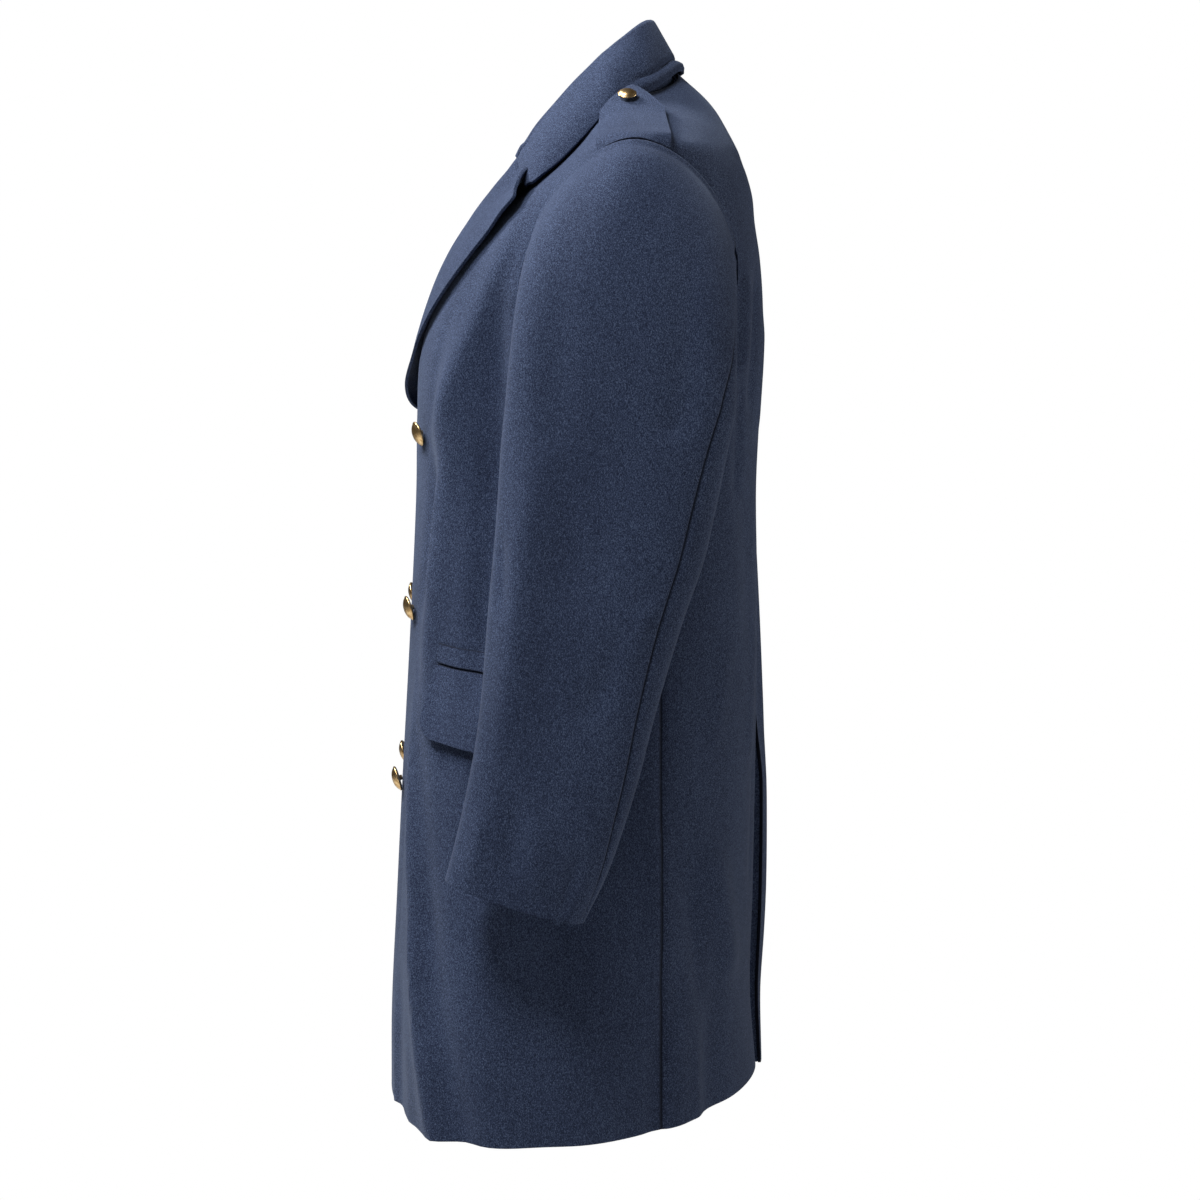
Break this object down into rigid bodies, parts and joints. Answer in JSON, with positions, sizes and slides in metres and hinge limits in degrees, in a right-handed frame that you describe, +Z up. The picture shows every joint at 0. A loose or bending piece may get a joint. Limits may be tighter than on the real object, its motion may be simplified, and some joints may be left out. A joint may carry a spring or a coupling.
{
  "type": "double-breasted coat",
  "caption": "Double-breasted wool greatcoat, hollow as when worn, with broad lapels, shoulder straps, flapped hip pockets and a centre vent.",
  "frame": {"origin": "on the shoulder line in the middle of the coat, where the wearer's shoulders carry it", "axes": "+Z up from hem to collar, +Y towards the wearer's back, +X towards the wearer's left; the coat faces -Y"},
  "size_m": [0.6516, 0.3776, 1.0406],
  "materials": {
    "wool": "heavy blue-grey melton wool with a fine heathered nap",
    "gilt": "polished gilt"
  },
  "bodies": {
    "root": {"back_left": "wool", "front_left": "wool", "lapel_left": "wool", "top_sleeve_left": "wool", "under_sleeve_left": "wool", "shoulder_strap_left": "wool", "pocket_jet_left": "wool", "pocket_flap_left": "wool", "back_right": "wool", "front_right": "wool", "lapel_right": "wool", "top_sleeve_right": "wool", "under_sleeve_right": "wool", "shoulder_strap_right": "wool", "pocket_jet_right": "wool", "pocket_flap_right": "wool", "collar": "wool", "vent_underlap": "wool", "button_left_1": "gilt", "button_left_2": "gilt", "button_left_3": "gilt", "button_right_1": "gilt", "button_right_2": "gilt", "button_right_3": "gilt", "strap_button_left": "gilt", "strap_button_right": "gilt"}
  },
  "joints": []
}
